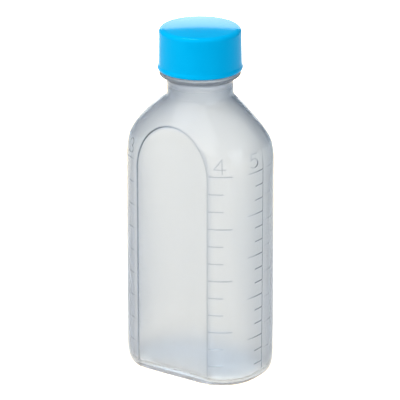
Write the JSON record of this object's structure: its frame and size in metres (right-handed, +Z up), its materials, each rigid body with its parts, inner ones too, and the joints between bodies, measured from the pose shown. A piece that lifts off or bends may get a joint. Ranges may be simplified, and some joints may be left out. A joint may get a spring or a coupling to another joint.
{
  "type": "oval liquid-medicine bottle with screw cap",
  "caption": "Small oval see-through plastic bottle for liquid medicine, with flat arched label panels, raised dosing scales and a blue screw cap.",
  "frame": {"origin": "centre of the footprint on the standing face", "axes": "+Z up along the neck and cap, X along the wide side of the oval, -Y out of the front label panel"},
  "size_m": [0.0508, 0.0338, 0.1211],
  "materials": {
    "bottle": "milky translucent polypropylene",
    "cap": "satin",
    "cap_liner": "foamed sheet"
  },
  "bodies": {
    "bottle": {"bottle": "bottle"},
    "liner": {"cap_liner": "cap_liner"},
    "cap": {"cap": "cap"}
  },
  "joints": [
    {"name": "cap_lift", "type": "slide", "parent": "bottle", "child": "liner", "axis": [0, 0, 1], "range_m": [0, 0.0127]},
    {"name": "cap_turn", "type": "hinge", "parent": "liner", "child": "cap", "pos_m": [0, 0, 0.113], "axis": [0, 0, 1], "range_deg": [0, 1080]}
  ],
  "couplings": [
    {"joint": "cap_lift", "follows": "cap_turn", "m_per_rad": 0.00066845}
  ]
}
